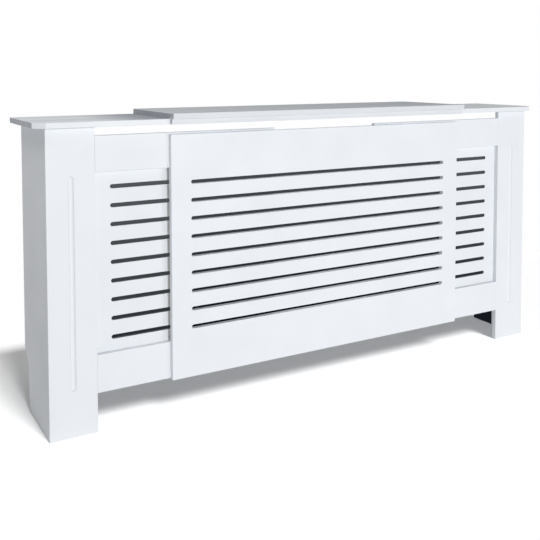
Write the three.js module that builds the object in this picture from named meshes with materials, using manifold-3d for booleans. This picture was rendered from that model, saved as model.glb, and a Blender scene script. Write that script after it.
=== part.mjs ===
// Adjustable radiator cover cabinet in painted board. Two mirrored side units slide behind
// a centre grille panel, and a centre top board lies across the two side tops.
// Millimetres, Z up, front towards -Y, origin on the floor at the middle of the footprint.

import * as THREE from 'three';
import * as BufferGeometryUtils from 'three/addons/utils/BufferGeometryUtils.js';
import Module from 'manifold-3d';

const wasm = await Module();
wasm.setup();

// Carcass
const POST_SPAN = 1678;          // over the outer faces of the two side panels
const POST_HEIGHT = 800;         // floor to the underside of the side tops
const SIDE_DEPTH = 265;          // front of the posts to the wall
const BOARD = 15;                // thickness of the structural boards
const POST_WIDTH = 126;
const UNIT_REACH = 660;          // outer face of a side unit to the inner ends of its rails

// Rails, from the floor up
const FLOOR_GAP = 104;
const LOWER_RAIL_HEIGHT = 101;
const UPPER_RAIL_HEIGHT = 95;
const AIR_GAP = 23;              // upper rail to the underside of the side tops

// Grille slots
const SLOT_COUNT = 9;
const SLOT_HEIGHT = 11;
const LOWEST_SLOT_RISE = 36;     // centre of the lowest slot above the lower rail
const HIGHEST_SLOT_DROP = 41;    // centre of the highest slot below the upper rail
const SLOT_ARC_STEPS = 8;
const SIDE_SLOT_START = 44;      // solid border between a post and the side slots
const SIDE_SLOT_MARGIN = 45;     // solid border at the inner end of a side grille
const CENTRE_SLOT_MARGIN = 58;
const SIDE_GRILLE = 9;           // thickness of the side grilles
const SIDE_GRILLE_INSET = 12;    // side grille edge inside the outline of the rails
const SIDE_GRILLE_LAP = 60;      // side grille behind the post

// Centre panel
const CENTRE_WIDTH = 1018;
const CENTRE_TOP_DROP = 5;       // centre panel's top edge below the upper rails' top edge
const CENTRE_BOTTOM_DROP = 2;    // centre panel's bottom edge below the lower rails

// Tops
const TOP_SIDE_OVERHANG = 30;
const TOP_FRONT_OVERHANG = 20;
const TOP_CORNER_CLIP = 28;
const CENTRE_TOP_WIDTH = 1026;
const LIP_SIZE = 15;             // square strip under the front edge of the centre top
const LIP_SETBACK = 10;          // lip behind the front edge of the centre top

// Skirting-board notch in the side panels
const NOTCH_DEPTH = 45;
const NOTCH_STRAIGHT = 127;      // upright part of the notch, below its 45 degree shoulder

// Flute routed into each post
const FLUTE_RADIUS = 8.5;
const FLUTE_DEPTH = 5;
const FLUTE_BOTTOM = 120;
const FLUTE_TOP_MARGIN = 123;

// Corner blocks
const BLOCK = 22;
const BLOCK_CLIP = 10;
const BLOCK_LENGTH = 60;
const TOP_BLOCK_MARGIN = 40;     // to the back of the post, and to the wall
const POST_BLOCK_MARGIN = 150;   // to the floor, and to the top of the post

// Guide battens behind the centre panel and the clamps through the side grilles
const BATTEN_WIDTH = 30;
const BATTEN_PLAY = 0.4;         // batten back to side grille
const BATTEN_HEADROOM = 1;       // batten end to upper rail
const CLAMP_INSET = 28;          // clamp axis in from the end of the centre panel
const STUD_RADIUS = 3;
const STUD_SOCKET = 10;
const STUD_TAIL = 8;             // stud standing out behind the wing nut
const BORE_CLEARANCE = 0.2;
const NUT_CLEARANCE = 0.08;      // running fit of the wing nut on its stud
const WASHER_RADIUS = 12;
const WASHER_THICKNESS = 1.6;
const HUB_RADIUS = 6;
const HUB_LENGTH = 8;
const WING_REACH = 15;
const WING_THICKNESS = 2.4;

// Wall brackets and their screws
const BRACKET_DROP = 110;        // foot of the bracket below the top of the side panel
const BRACKET_HEIGHT = 24;
const BRACKET_LEG = 38;
const BRACKET_FLANGE = 28;
const BRACKET_PLATE = 2;
const WALL_HOLE_RADIUS = 2.6;
const WALL_HOLE_EDGE = 9;        // wall screw hole in from the free edge of the flange
const SCREW_EDGE = 7;            // first screw in from the free edge of the leg
const SCREW_PITCH = 15;
const SCREW_RADIUS = 1.8;
const SCREW_HEAD_RADIUS = 4;
const SCREW_HEAD = 2.2;
const SCREW_POINT = 3;
const SCREW_BITE = 11;

// Cutting tools start and end this far outside what they cut.
const OVERRUN = 5;

// Derived heights
const LOWER_RAIL_TOP = FLOOR_GAP + LOWER_RAIL_HEIGHT;
const UPPER_RAIL_TOP = POST_HEIGHT - AIR_GAP;
const UPPER_RAIL_BOTTOM = UPPER_RAIL_TOP - UPPER_RAIL_HEIGHT;
const LOWEST_SLOT = LOWER_RAIL_TOP + LOWEST_SLOT_RISE;
const HIGHEST_SLOT = UPPER_RAIL_BOTTOM - HIGHEST_SLOT_DROP;
const SLOT_PITCH = (HIGHEST_SLOT - LOWEST_SLOT) / (SLOT_COUNT - 1);
const CENTRE_BOTTOM = FLOOR_GAP - CENTRE_BOTTOM_DROP;
const CENTRE_TOP = UPPER_RAIL_TOP - CENTRE_TOP_DROP;
const SIDE_TOP_Z = POST_HEIGHT + BOARD;
const FULL_HEIGHT = SIDE_TOP_Z + BOARD;
const CLAMP_HEIGHTS = { lower: LOWEST_SLOT, upper: HIGHEST_SLOT };

// Derived depths, measured back from the front face of the posts
const LIP_FRONT = -TOP_FRONT_OVERHANG - LIP_SIZE;
const CENTRE_TOP_FRONT = LIP_FRONT - LIP_SETBACK;
const GRILLE_BACK = BOARD + SIDE_GRILLE;
const WASHER_BACK = GRILLE_BACK + WASHER_THICKNESS;
const STUD_END = WASHER_BACK + HUB_LENGTH + STUD_TAIL;

const CLAMP_X = CENTRE_WIDTH / 2 - CLAMP_INSET;
const SIDES = { left: -1, right: 1 };

const PAINTED_BOARD = { color: 0xe8ebef, roughness: 0.45, metalness: 0 };
const SOFTWOOD = { color: 0xcdb48c, roughness: 0.75, metalness: 0 };
const ZINC = { color: 0xb4b8bd, roughness: 0.35, metalness: 1 };

function addPiece(group, name, geometry, finish, x = 0, y = 0, z = 0) {
  const mesh = new THREE.Mesh(geometry, new THREE.MeshStandardMaterial(finish));
  mesh.name = name;
  mesh.position.set(x, y, z);
  group.add(mesh);
}

// Rectangular board between two corners.
function board([x0, y0, z0], [x1, y1, z1]) {
  const geometry = new THREE.BoxGeometry(Math.abs(x1 - x0), y1 - y0, z1 - z0);
  geometry.translate((x0 + x1) / 2, (y0 + y1) / 2, (z0 + z1) / 2);
  return geometry;
}

function outline(points) {
  return new THREE.Shape(points.map(([a, b]) => new THREE.Vector2(a, b)));
}

// Outline in X and Y, standing up from z = 0.
function flatPlate(shape, height, arcSteps = 1) {
  return new THREE.ExtrudeGeometry(shape, {
    depth: height,
    bevelEnabled: false,
    curveSegments: arcSteps,
  });
}

// Outline in X and Z, thickness running back from y = 0.
function frontPlate(shape, thickness, arcSteps) {
  const geometry = flatPlate(shape, thickness, arcSteps);
  geometry.rotateX(Math.PI / 2);
  geometry.translate(0, thickness, 0);
  return geometry;
}

// Outline in Y and Z, thickness running along X between two values.
function sidePlate(shape, x0, x1) {
  const geometry = flatPlate(shape, Math.abs(x1 - x0));
  const turn = new THREE.Matrix4().makeBasis(
    new THREE.Vector3(0, 1, 0),
    new THREE.Vector3(0, 0, 1),
    new THREE.Vector3(1, 0, 0),
  );
  geometry.applyMatrix4(turn);
  geometry.translate(Math.min(x0, x1), 0, 0);
  return geometry;
}

// Round bar along Y on the line through x and z.
function barAlongY(radius, y0, y1, segments, x = 0, z = 0) {
  const geometry = new THREE.CylinderGeometry(radius, radius, y1 - y0, segments);
  geometry.translate(x, (y0 + y1) / 2, z);
  return geometry;
}

// Round bar along X on the line through y and z.
function barAlongX(radius, x0, x1, segments, y, z) {
  const geometry = new THREE.CylinderGeometry(radius, radius, Math.abs(x1 - x0), segments);
  geometry.rotateZ(Math.PI / 2);
  geometry.translate((x0 + x1) / 2, y, z);
  return geometry;
}

function toSolid(geometry) {
  const bare = geometry.clone();
  bare.deleteAttribute('normal');
  bare.deleteAttribute('uv');
  const merged = BufferGeometryUtils.mergeVertices(bare, 1e-4);
  return new wasm.Manifold(new wasm.Mesh({
    numProp: 3,
    vertProperties: Float32Array.from(merged.attributes.position.array),
    triVerts: Uint32Array.from(merged.index.array),
  }));
}

function toGeometry(solid) {
  const { vertProperties, triVerts } = solid.getMesh();
  const geometry = new THREE.BufferGeometry();
  geometry.setAttribute('position', new THREE.BufferAttribute(vertProperties, 3));
  geometry.setIndex(new THREE.BufferAttribute(triVerts, 1));
  geometry.computeVertexNormals();
  return geometry;
}

// Joins the blanks into one solid and takes every tool out of it.
function machined(blanks, tools) {
  let solid = blanks.map(toSolid).reduce((whole, blank) => whole.add(blank));
  for (const tool of tools) {
    solid = solid.subtract(toSolid(tool));
  }
  return toGeometry(solid);
}

// Grille outline with evenly spaced horizontal slots that end in half rounds.
function grilleOutline(x0, x1, z0, z1, slotX0, slotX1) {
  const shape = outline([[x0, z0], [x1, z0], [x1, z1], [x0, z1]]);
  const radius = SLOT_HEIGHT / 2;
  const startX = slotX0 + radius;
  const endX = slotX1 - radius;
  for (let row = 0; row < SLOT_COUNT; row += 1) {
    const z = LOWEST_SLOT + row * SLOT_PITCH;
    const slot = new THREE.Path();
    slot.moveTo(startX, z - radius);
    slot.lineTo(endX, z - radius);
    slot.absarc(endX, z, radius, -Math.PI / 2, Math.PI / 2, false);
    slot.lineTo(startX, z + radius);
    slot.absarc(startX, z, radius, Math.PI / 2, 1.5 * Math.PI, false);
    shape.holes.push(slot);
  }
  return shape;
}

// Side units. Each has its own frame: x = 0 on its outer face, y = 0 on the front of its post,
// z = 0 on the floor, and inward is the sign of X towards the middle of the cabinet.

// Depth and height of the two screws that hold the wall bracket to the side panel.
function bracketScrews() {
  const first = SIDE_DEPTH - BRACKET_LEG + SCREW_EDGE;
  const z = POST_HEIGHT - BRACKET_DROP + BRACKET_HEIGHT / 2;
  return [[first, z], [first + SCREW_PITCH, z]];
}

function bracketScrewBores(inward, from, to) {
  const radius = SCREW_RADIUS + BORE_CLEARANCE;
  return bracketScrews().map(([y, z]) => barAlongX(radius, inward * from, inward * to, 12, y, z));
}

// Full-height board behind the post, notched at the lower back for a skirting board.
function sidePanel(inward) {
  const shape = outline([
    [BOARD, 0],
    [SIDE_DEPTH - NOTCH_DEPTH, 0],
    [SIDE_DEPTH - NOTCH_DEPTH, NOTCH_STRAIGHT],
    [SIDE_DEPTH, NOTCH_STRAIGHT + NOTCH_DEPTH],
    [SIDE_DEPTH, POST_HEIGHT],
    [BOARD, POST_HEIGHT],
  ]);
  const bores = bracketScrewBores(inward, BOARD - SCREW_BITE, BOARD + OVERRUN);
  return machined([sidePlate(shape, 0, inward * BOARD)], bores);
}

// Front post with one vertical round-nosed flute down its middle.
function frontPost(inward) {
  const straight = POST_HEIGHT - FLUTE_TOP_MARGIN - FLUTE_BOTTOM - 2 * FLUTE_RADIUS;
  const flute = new THREE.CapsuleGeometry(FLUTE_RADIUS, straight, 5, 24);
  flute.rotateX(Math.PI / 2);
  flute.translate(
    inward * POST_WIDTH / 2,
    FLUTE_DEPTH - FLUTE_RADIUS,
    FLUTE_BOTTOM + FLUTE_RADIUS + straight / 2,
  );
  return machined([board([0, 0, 0], [inward * POST_WIDTH, BOARD, POST_HEIGHT])], [flute]);
}

function rail(inward, z0, z1) {
  return board([inward * POST_WIDTH, 0, z0], [inward * UNIT_REACH, BOARD, z1]);
}

function sideGrille(inward) {
  const byX = (a, b) => a - b;
  const ends = [inward * (POST_WIDTH - SIDE_GRILLE_LAP), inward * UNIT_REACH].sort(byX);
  const slots = [
    inward * (POST_WIDTH + SIDE_SLOT_START),
    inward * (UNIT_REACH - SIDE_SLOT_MARGIN),
  ].sort(byX);
  const bottom = FLOOR_GAP + SIDE_GRILLE_INSET;
  const top = UPPER_RAIL_TOP - SIDE_GRILLE_INSET;
  const shape = grilleOutline(ends[0], ends[1], bottom, top, slots[0], slots[1]);
  return frontPlate(shape, SIDE_GRILLE, SLOT_ARC_STEPS);
}

// Side top with its outer front corner clipped at 45 degrees.
function sideTop(inward) {
  const outer = -inward * TOP_SIDE_OVERHANG;
  const shape = outline([
    [inward * UNIT_REACH, -TOP_FRONT_OVERHANG],
    [outer + inward * TOP_CORNER_CLIP, -TOP_FRONT_OVERHANG],
    [outer, TOP_CORNER_CLIP - TOP_FRONT_OVERHANG],
    [outer, SIDE_DEPTH],
    [inward * UNIT_REACH, SIDE_DEPTH],
  ]);
  return flatPlate(shape, BOARD);
}

// Five-sided block section with its square corner at the origin and its free corner clipped.
function blockOutline(signA, signB) {
  const near = BLOCK - BLOCK_CLIP;
  return outline([
    [0, 0],
    [signA * BLOCK, 0],
    [signA * BLOCK, signB * near],
    [signA * near, signB * BLOCK],
    [0, signB * BLOCK],
  ]);
}

// Angle bracket with its corner at the origin: one leg runs forwards along the side panel and
// one flange runs inward, level with the wall.
function wallBracket(inward) {
  const section = outline([
    [0, 0],
    [inward * BRACKET_FLANGE, 0],
    [inward * BRACKET_FLANGE, -BRACKET_PLATE],
    [inward * BRACKET_PLATE, -BRACKET_PLATE],
    [inward * BRACKET_PLATE, -BRACKET_LEG],
    [0, -BRACKET_LEG],
  ]);
  const middle = BRACKET_HEIGHT / 2;
  const legHoles = [0, SCREW_PITCH].map((step) => barAlongX(
    SCREW_RADIUS + BORE_CLEARANCE,
    -OVERRUN,
    OVERRUN,
    12,
    SCREW_EDGE - BRACKET_LEG + step,
    middle,
  ));
  const wallHole = barAlongY(
    WALL_HOLE_RADIUS,
    -OVERRUN,
    OVERRUN,
    16,
    inward * (BRACKET_FLANGE - WALL_HOLE_EDGE),
    middle,
  );
  return machined([flatPlate(section, BRACKET_HEIGHT)], [...legHoles, wallHole]);
}

// Pan-head screw along X. Its head seats at x = 0 and its point runs outwards.
function bracketScrew(inward) {
  const profile = [
    [0, -SCREW_BITE - BRACKET_PLATE],
    [SCREW_RADIUS, SCREW_POINT - SCREW_BITE - BRACKET_PLATE],
    [SCREW_RADIUS, 0],
    [SCREW_HEAD_RADIUS, 0],
    [SCREW_HEAD_RADIUS * 0.85, SCREW_HEAD * 0.7],
    [SCREW_HEAD_RADIUS * 0.45, SCREW_HEAD],
    [0, SCREW_HEAD],
  ];
  const points = profile.map(([radius, along]) => new THREE.Vector2(radius, along));
  const geometry = new THREE.LatheGeometry(points, 12);
  geometry.rotateZ(-inward * Math.PI / 2);
  return geometry;
}

function sideUnit(name, side) {
  const unit = new THREE.Group();
  unit.position.x = side * POST_SPAN / 2;
  const inward = -side;
  const inner = inward * BOARD;
  addPiece(unit, `${name}_side_panel`, sidePanel(inward), PAINTED_BOARD);
  addPiece(unit, `${name}_front_post`, frontPost(inward), PAINTED_BOARD);
  addPiece(unit, `${name}_upper_rail`, rail(inward, UPPER_RAIL_BOTTOM, UPPER_RAIL_TOP), PAINTED_BOARD);
  addPiece(unit, `${name}_lower_rail`, rail(inward, FLOOR_GAP, LOWER_RAIL_TOP), PAINTED_BOARD);
  addPiece(unit, `${name}_grille_panel`, sideGrille(inward), PAINTED_BOARD, 0, BOARD, 0);
  addPiece(unit, `${name}_top_board`, sideTop(inward), PAINTED_BOARD, 0, 0, POST_HEIGHT);

  // Blocks under the top run front to back; blocks behind the post stand upright.
  const topDepths = {
    front: BOARD + TOP_BLOCK_MARGIN,
    back: SIDE_DEPTH - TOP_BLOCK_MARGIN - BLOCK_LENGTH,
  };
  for (const [place, depth] of Object.entries(topDepths)) {
    const block = frontPlate(blockOutline(inward, -1), BLOCK_LENGTH);
    addPiece(unit, `${name}_top_block_${place}`, block, SOFTWOOD, inner, depth, POST_HEIGHT);
  }
  const postHeights = {
    lower: POST_BLOCK_MARGIN,
    upper: POST_HEIGHT - POST_BLOCK_MARGIN - BLOCK_LENGTH,
  };
  for (const [place, height] of Object.entries(postHeights)) {
    const block = flatPlate(blockOutline(inward, 1), BLOCK_LENGTH);
    addPiece(unit, `${name}_post_block_${place}`, block, SOFTWOOD, inner, BOARD, height);
  }

  const bracketFoot = POST_HEIGHT - BRACKET_DROP;
  addPiece(unit, `${name}_wall_bracket`, wallBracket(inward), ZINC, inner, SIDE_DEPTH, bracketFoot);
  bracketScrews().forEach(([y, z], index) => {
    const seat = inward * (BOARD + BRACKET_PLATE);
    addPiece(unit, `${name}_bracket_screw_${index + 1}`, bracketScrew(inward), ZINC, seat, y, z);
  });
  return unit;
}

// Centre assembly. x = 0 is the middle of the cabinet, y = 0 the front of the posts.

// Slotted panel with blind sockets in its back for the four clamp studs.
function centrePanel() {
  const half = CENTRE_WIDTH / 2;
  const slotHalf = half - CENTRE_SLOT_MARGIN;
  const shape = grilleOutline(-half, half, CENTRE_BOTTOM, CENTRE_TOP, -slotHalf, slotHalf);
  const radius = STUD_RADIUS + BORE_CLEARANCE;
  const sockets = Object.values(SIDES).flatMap((side) => Object.values(CLAMP_HEIGHTS).map(
    (z) => barAlongY(radius, BOARD - STUD_SOCKET, BOARD + OVERRUN, 16, side * CLAMP_X, z),
  ));
  return machined([frontPlate(shape, BOARD, SLOT_ARC_STEPS)], sockets);
}

// Upright batten that stands on the lower rail and runs in the recess between the rails.
function guideBatten() {
  const half = BATTEN_WIDTH / 2;
  const thickness = BOARD - BATTEN_PLAY;
  const blank = board(
    [-half, 0, LOWER_RAIL_TOP],
    [half, thickness, UPPER_RAIL_BOTTOM - BATTEN_HEADROOM],
  );
  const bores = Object.values(CLAMP_HEIGHTS).map(
    (z) => barAlongY(STUD_RADIUS + BORE_CLEARANCE, -OVERRUN, thickness + OVERRUN, 16, 0, z),
  );
  return machined([blank], bores);
}

function clampStud() {
  return barAlongY(STUD_RADIUS, -STUD_SOCKET, STUD_END, 16);
}

function clampWasher() {
  const disc = barAlongY(WASHER_RADIUS, 0, WASHER_THICKNESS, 24);
  const hole = barAlongY(
    STUD_RADIUS + BORE_CLEARANCE,
    -OVERRUN,
    WASHER_THICKNESS + OVERRUN,
    16,
  );
  return machined([disc], [hole]);
}

// Wing nut seated on y = 0: a round hub with two upswept wings in one plane through its axis.
// The wing outline is in shares of the wing's reach and of the hub's length.
function wingNut() {
  const wingOutline = [
    [0, 0.1],
    [0.5, 0.12],
    [0.8, 0.45],
    [1, 1],
    [0.95, 1.4],
    [0.75, 1.5],
    [0.55, 1.2],
    [0.38, 0.8],
    [0, 0.8],
  ];
  const wings = [-1, 1].map((hand) => {
    const points = wingOutline.map(([out, along]) => [along * HUB_LENGTH, hand * out * WING_REACH]);
    return sidePlate(outline(points), -WING_THICKNESS / 2, WING_THICKNESS / 2);
  });
  const hub = barAlongY(HUB_RADIUS, 0, HUB_LENGTH, 16);
  const bore = barAlongY(STUD_RADIUS + NUT_CLEARANCE, -OVERRUN, HUB_LENGTH + OVERRUN, 16);
  return machined([hub, ...wings], [bore]);
}

function centreAssembly() {
  const centre = new THREE.Group();
  const topHalf = CENTRE_TOP_WIDTH / 2;
  addPiece(centre, 'centre_grille_panel', centrePanel(), PAINTED_BOARD, 0, -BOARD, 0);
  const top = board([-topHalf, CENTRE_TOP_FRONT, SIDE_TOP_Z], [topHalf, SIDE_DEPTH, FULL_HEIGHT]);
  addPiece(centre, 'centre_top_board', top, PAINTED_BOARD);
  const lip = board(
    [-topHalf, LIP_FRONT, SIDE_TOP_Z - LIP_SIZE],
    [topHalf, -TOP_FRONT_OVERHANG, SIDE_TOP_Z],
  );
  addPiece(centre, 'centre_top_lip', lip, PAINTED_BOARD);
  for (const [name, side] of Object.entries(SIDES)) {
    const x = side * CLAMP_X;
    addPiece(centre, `${name}_guide_batten`, guideBatten(), SOFTWOOD, x, 0, 0);
    for (const [level, z] of Object.entries(CLAMP_HEIGHTS)) {
      addPiece(centre, `${name}_${level}_clamp_stud`, clampStud(), ZINC, x, 0, z);
      addPiece(centre, `${name}_${level}_clamp_washer`, clampWasher(), ZINC, x, GRILLE_BACK, z);
      addPiece(centre, `${name}_${level}_wing_nut`, wingNut(), ZINC, x, WASHER_BACK, z);
    }
  }
  return centre;
}

const cabinet = new THREE.Group();
cabinet.name = 'radiator_cover_cabinet';

// The footprint runs from the front of the centre top to the wall.
const footprint = new THREE.Group();
footprint.position.y = -(CENTRE_TOP_FRONT + SIDE_DEPTH) / 2;
for (const [name, side] of Object.entries(SIDES)) {
  footprint.add(sideUnit(name, side));
}
footprint.add(centreAssembly());
cabinet.add(footprint);

export default cabinet;
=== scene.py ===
import math

import bmesh
import bpy
from mathutils import Matrix, Vector


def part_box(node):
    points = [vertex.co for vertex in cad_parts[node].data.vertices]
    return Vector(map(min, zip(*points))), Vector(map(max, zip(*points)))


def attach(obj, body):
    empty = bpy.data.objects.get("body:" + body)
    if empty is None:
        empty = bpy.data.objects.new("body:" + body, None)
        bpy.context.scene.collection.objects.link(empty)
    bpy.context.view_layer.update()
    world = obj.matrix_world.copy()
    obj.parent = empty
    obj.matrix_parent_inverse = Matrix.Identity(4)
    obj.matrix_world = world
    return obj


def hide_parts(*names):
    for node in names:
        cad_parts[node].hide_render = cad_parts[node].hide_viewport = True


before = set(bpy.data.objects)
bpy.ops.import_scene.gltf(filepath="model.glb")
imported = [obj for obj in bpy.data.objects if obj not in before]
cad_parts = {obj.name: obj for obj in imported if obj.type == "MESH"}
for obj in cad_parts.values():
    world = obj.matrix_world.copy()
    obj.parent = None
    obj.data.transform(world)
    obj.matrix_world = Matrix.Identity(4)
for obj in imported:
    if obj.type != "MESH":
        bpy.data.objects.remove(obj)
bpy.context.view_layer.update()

# ----------------------------------------------
# Side panels. Full-height fibreboard sides, sawn to shape with a notch over the skirting board,
# sanded round every arris and sprayed with a satin white paint that keeps a fine orange peel.
# ----------------------------------------------
BOARD_ARRIS = 0.0009
SHARP_ANGLE = math.radians(35)
FLAT_ANGLE = math.radians(0.5)
MERGE_DISTANCE = 1e-6
UNITS = {"left": 1, "right": -1}          # sign of X towards the middle of the cabinet
PAINT = (0.805, 0.833, 0.868, 1.0)
PAINT_SHADE = (0.775, 0.804, 0.842, 1.0)
PAINT_IOR = 1.40
PAINT_RELIEF = 0.00012
COARSE_RELIEF = 0.0002                    # of paint on cut board that wasn't sanded
BUMP_STRENGTH = 0.3
MOTTLE_GLOSS = (-0.05, 0.07)              # added to the roughness where the mottle is low, high
ARRIS_DULLNESS = 0.12


def feed(node, inputs):
    """Sets each named input to a value, or links it to a pair of a node and its output."""
    for socket, value in inputs.items():
        if isinstance(value, tuple) and isinstance(value[0], bpy.types.Node):
            node.id_data.links.new(value[0].outputs[value[1]], node.inputs[socket])
        else:
            node.inputs[socket].default_value = value


def new_node(tree, kind, inputs=None, **settings):
    """A node with its settings made first, and then its inputs fed."""
    node = tree.nodes.new(kind)
    for name, value in settings.items():
        setattr(node, name, value)
    feed(node, inputs or {})
    return node


def math_node(tree, operation, first, second, **settings):
    node = new_node(
        tree, "ShaderNodeMath", {0: first, 1: second}, operation=operation, **settings
    )
    return node, "Value"


def vector_node(tree, **parts):
    return new_node(tree, "ShaderNodeCombineXYZ", parts), "Vector"


def noise_node(tree, scale, detail, place):
    node = new_node(tree, "ShaderNodeTexNoise", {
        "Scale": scale, "Detail": detail, "Vector": place,
    })
    return node, "Fac"


def range_node(tree, value, low, high, from_low=0.3, from_high=0.7, **settings):
    node = new_node(tree, "ShaderNodeMapRange", {
        "Value": value, "From Min": from_low, "From Max": from_high, "To Min": low, "To Max": high,
    }, **settings)
    return node, "Result"


def mix_colours(tree, amount, first, second):
    node = new_node(tree, "ShaderNodeMix", {
        "Factor": amount, "A": first, "B": second,
    }, data_type="RGBA")
    return node, "Result"


def object_place(tree):
    return new_node(tree, "ShaderNodeTexCoord"), "Object"


def finish_group(name, colours, numbers):
    """An empty node group that takes colours and numbers and puts out one finish."""
    tree = bpy.data.node_groups.new(name, "ShaderNodeTree")
    for label in colours:
        tree.interface.new_socket(label, in_out="INPUT", socket_type="NodeSocketColor")
    for label in numbers:
        tree.interface.new_socket(label, in_out="INPUT", socket_type="NodeSocketFloat")
    tree.interface.new_socket("Color", in_out="OUTPUT", socket_type="NodeSocketColor")
    tree.interface.new_socket("Roughness", in_out="OUTPUT", socket_type="NodeSocketFloat")
    tree.interface.new_socket("Height", in_out="OUTPUT", socket_type="NodeSocketFloat")
    return tree, tree.nodes.new("NodeGroupInput"), tree.nodes.new("NodeGroupOutput")


def spray_paint_group():
    """Paint: slow mottle, drawn out along X by a small Grain, fine peel, and a duller arris."""
    tree, given, result = finish_group(
        "spray_paint", ("Paint", "Shade"),
        ("Arris", "Mottle Scale", "Peel Scale", "Grain", "Roughness"),
    )
    share = vector_node(tree, X=(given, "Grain"), Y=1.0, Z=1.0)
    drawn = new_node(
        tree, "ShaderNodeVectorMath", {0: object_place(tree), 1: share}, operation="MULTIPLY"
    )
    mottle = noise_node(tree, (given, "Mottle Scale"), 3.0, (drawn, "Vector"))
    peel = noise_node(tree, (given, "Peel Scale"), 2.0, (drawn, "Vector"))
    worn = math_node(tree, "MULTIPLY", (given, "Arris"), peel)
    amount = math_node(tree, "ADD", worn, range_node(tree, mottle, 0.0, 1.0), use_clamp=True)
    uneven = range_node(tree, mottle, *MOTTLE_GLOSS)
    gloss = math_node(tree, "ADD", (given, "Roughness"), uneven)
    duller = math_node(tree, "MULTIPLY", (given, "Arris"), ARRIS_DULLNESS)
    feed(result, {
        "Color": mix_colours(tree, amount, (given, "Paint"), (given, "Shade")),
        "Roughness": math_node(tree, "ADD", gloss, duller),
        "Height": peel,
    })
    return tree


def finish_material(name, group, values, relief, metallic=0.0, ior=1.5):
    """A surface whose colour, roughness and relief come from one finish group."""
    material = bpy.data.materials.new(name)
    material.use_nodes = True
    tree = material.node_tree
    finish = new_node(tree, "ShaderNodeGroup", values, node_tree=group)
    if "Arris" in finish.inputs:
        arris = new_node(tree, "ShaderNodeAttribute", attribute_name="arris")
        feed(finish, {"Arris": (arris, "Fac")})
    bump = new_node(tree, "ShaderNodeBump", {
        "Height": (finish, "Height"), "Distance": relief, "Strength": BUMP_STRENGTH,
    })
    feed(tree.nodes["Principled BSDF"], {
        "Base Color": (finish, "Color"), "Roughness": (finish, "Roughness"),
        "Normal": (bump, "Normal"), "Metallic": metallic, "IOR": ior,
    })
    return material


SPRAY_PAINT = spray_paint_group()


def paint_material(
    name, paint, shade, mottle, peel, roughness, grain=1.0, relief=PAINT_RELIEF, ior=PAINT_IOR
):
    """Paint between two colours. Mottle and peel say how many patches lie in a metre."""
    return finish_material(name, SPRAY_PAINT, {
        "Paint": paint, "Shade": shade, "Mottle Scale": mottle, "Peel Scale": peel,
        "Grain": grain, "Roughness": roughness,
    }, relief, ior=ior)


WHITE_PAINT = paint_material(
    "white_paint", PAINT, PAINT_SHADE, mottle=7.0, peel=420.0, roughness=0.48
)
# A shaded copy of the white paint for the side panels: it reflects less, so that the sides render
# darker.
SHADED_SIDE_PAINT = paint_material(
    "shaded_side_paint", PAINT, PAINT_SHADE, mottle=7.0, peel=420.0, roughness=0.52, ior=1.31
)


def new_piece(name, mesh, material):
    piece = bpy.data.objects.new(name, mesh)
    bpy.context.scene.collection.objects.link(piece)
    mesh.materials.clear()
    mesh.materials.append(material)
    return piece


def shape_to_mesh(shape, name):
    mesh = bpy.data.meshes.new(name)
    shape.to_mesh(mesh)
    shape.free()
    return mesh


def ease_edges(mesh, width, segments=2):
    """Rounds every sharp edge and marks the narrow faces that this makes as the arris."""
    shape = bmesh.new()
    shape.from_mesh(mesh)
    mark = shape.faces.layers.float.new("arris")
    sharp = [e for e in shape.edges if e.is_manifold and e.calc_face_angle() > SHARP_ANGLE]
    made = bmesh.ops.bevel(
        shape, geom=sharp, offset=width, segments=segments, profile=0.5, affect="EDGES",
        loop_slide=False, clamp_overlap=False, material=-1,
    )
    for face in made["faces"]:
        face[mark] = 1.0
        face.smooth = True
    shape.to_mesh(mesh)
    shape.free()
    return mesh


def copy_of_node(name):
    """A merged copy of a CAD node's mesh, with its flat faces made whole."""
    shape = bmesh.new()
    shape.from_mesh(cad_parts[name].data)
    bmesh.ops.remove_doubles(shape, verts=shape.verts, dist=MERGE_DISTANCE)
    bmesh.ops.dissolve_limit(
        shape, angle_limit=FLAT_ANGLE, verts=shape.verts, edges=shape.edges
    )
    return shape_to_mesh(shape, f"{name}_finished")


def stand_for(piece, node, body):
    """The piece stands in for a CAD node, which is hidden, and rides on the given body."""
    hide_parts(node)
    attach(piece, body)
    return piece


def painted_board(node, body, paint=WHITE_PAINT):
    mesh = ease_edges(copy_of_node(node), BOARD_ARRIS)
    board = new_piece(f"{node}_finished", mesh, paint)
    return stand_for(board, node, body)


for hand in UNITS:
    painted_board(f"{hand}_side_panel", f"{hand}_unit", SHADED_SIDE_PAINT)

# ----------------------------------------------
# Front posts. Each covers the front edge of its side panel and has one shallow flute, routed
# with a round-nosed bit that was lowered into the board, so both of its ends are round.
# ----------------------------------------------
FLUTE_RADIUS = 0.0085
FLUTE_DEPTH = 0.005
FLUTE_BOTTOM = 0.120
FLUTE_TOP_MARGIN = 0.123
FLUTE_LIP = 0.0006                        # paint-softened edge round the flute
FLUTE_LIP_DROP = 0.45                     # how far the edge falls, as a share of its width
FLUTE_ARC_STEPS = 14
FLUTE_WALL_STEPS = 12


def stadium(radius, half_straight):
    """Closed outline of two half rounds joined by straight sides, as X and Z offsets."""
    points = []
    for step in range(2 * FLUTE_ARC_STEPS + 1):
        turn = math.pi * step / (2 * FLUTE_ARC_STEPS)
        points.append((radius * math.cos(turn), half_straight + radius * math.sin(turn)))
    return points + [(-x, -z) for x, z in points]


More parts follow.
